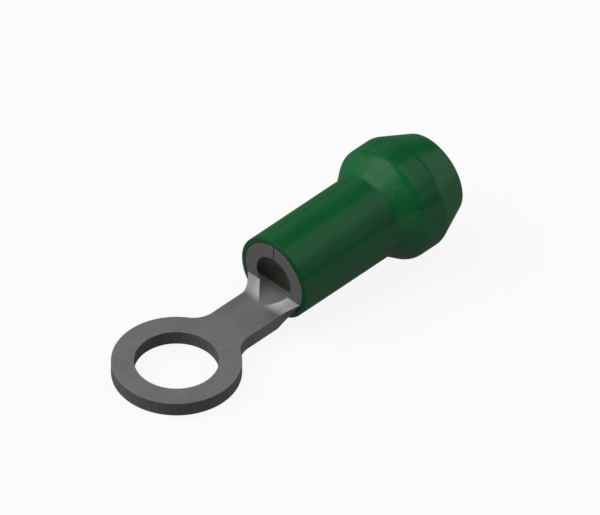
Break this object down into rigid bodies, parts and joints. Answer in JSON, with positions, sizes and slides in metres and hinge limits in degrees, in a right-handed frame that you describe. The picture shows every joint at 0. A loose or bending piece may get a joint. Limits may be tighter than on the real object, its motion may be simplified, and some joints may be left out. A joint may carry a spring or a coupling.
{
  "type": "ring terminal",
  "caption": "Insulated ring terminal: flat stamped ring and neck, rolled crimp barrel, and a green nylon sleeve that swells to a hollow bulb at the wire end.",
  "frame": {"origin": "centre of the stud hole on the ring's underside", "axes": "+Z along the stud axis, up from the underside; +X from the ring to the wire end"},
  "size_m": [0.0215, 0.0066, 0.0063],
  "materials": {
    "tinned_copper": "satin tin plate",
    "green_nylon": "translucent gloss"
  },
  "bodies": {
    "root": {"terminal_body": "tinned_copper", "insulating_sleeve": "green_nylon"}
  },
  "joints": []
}
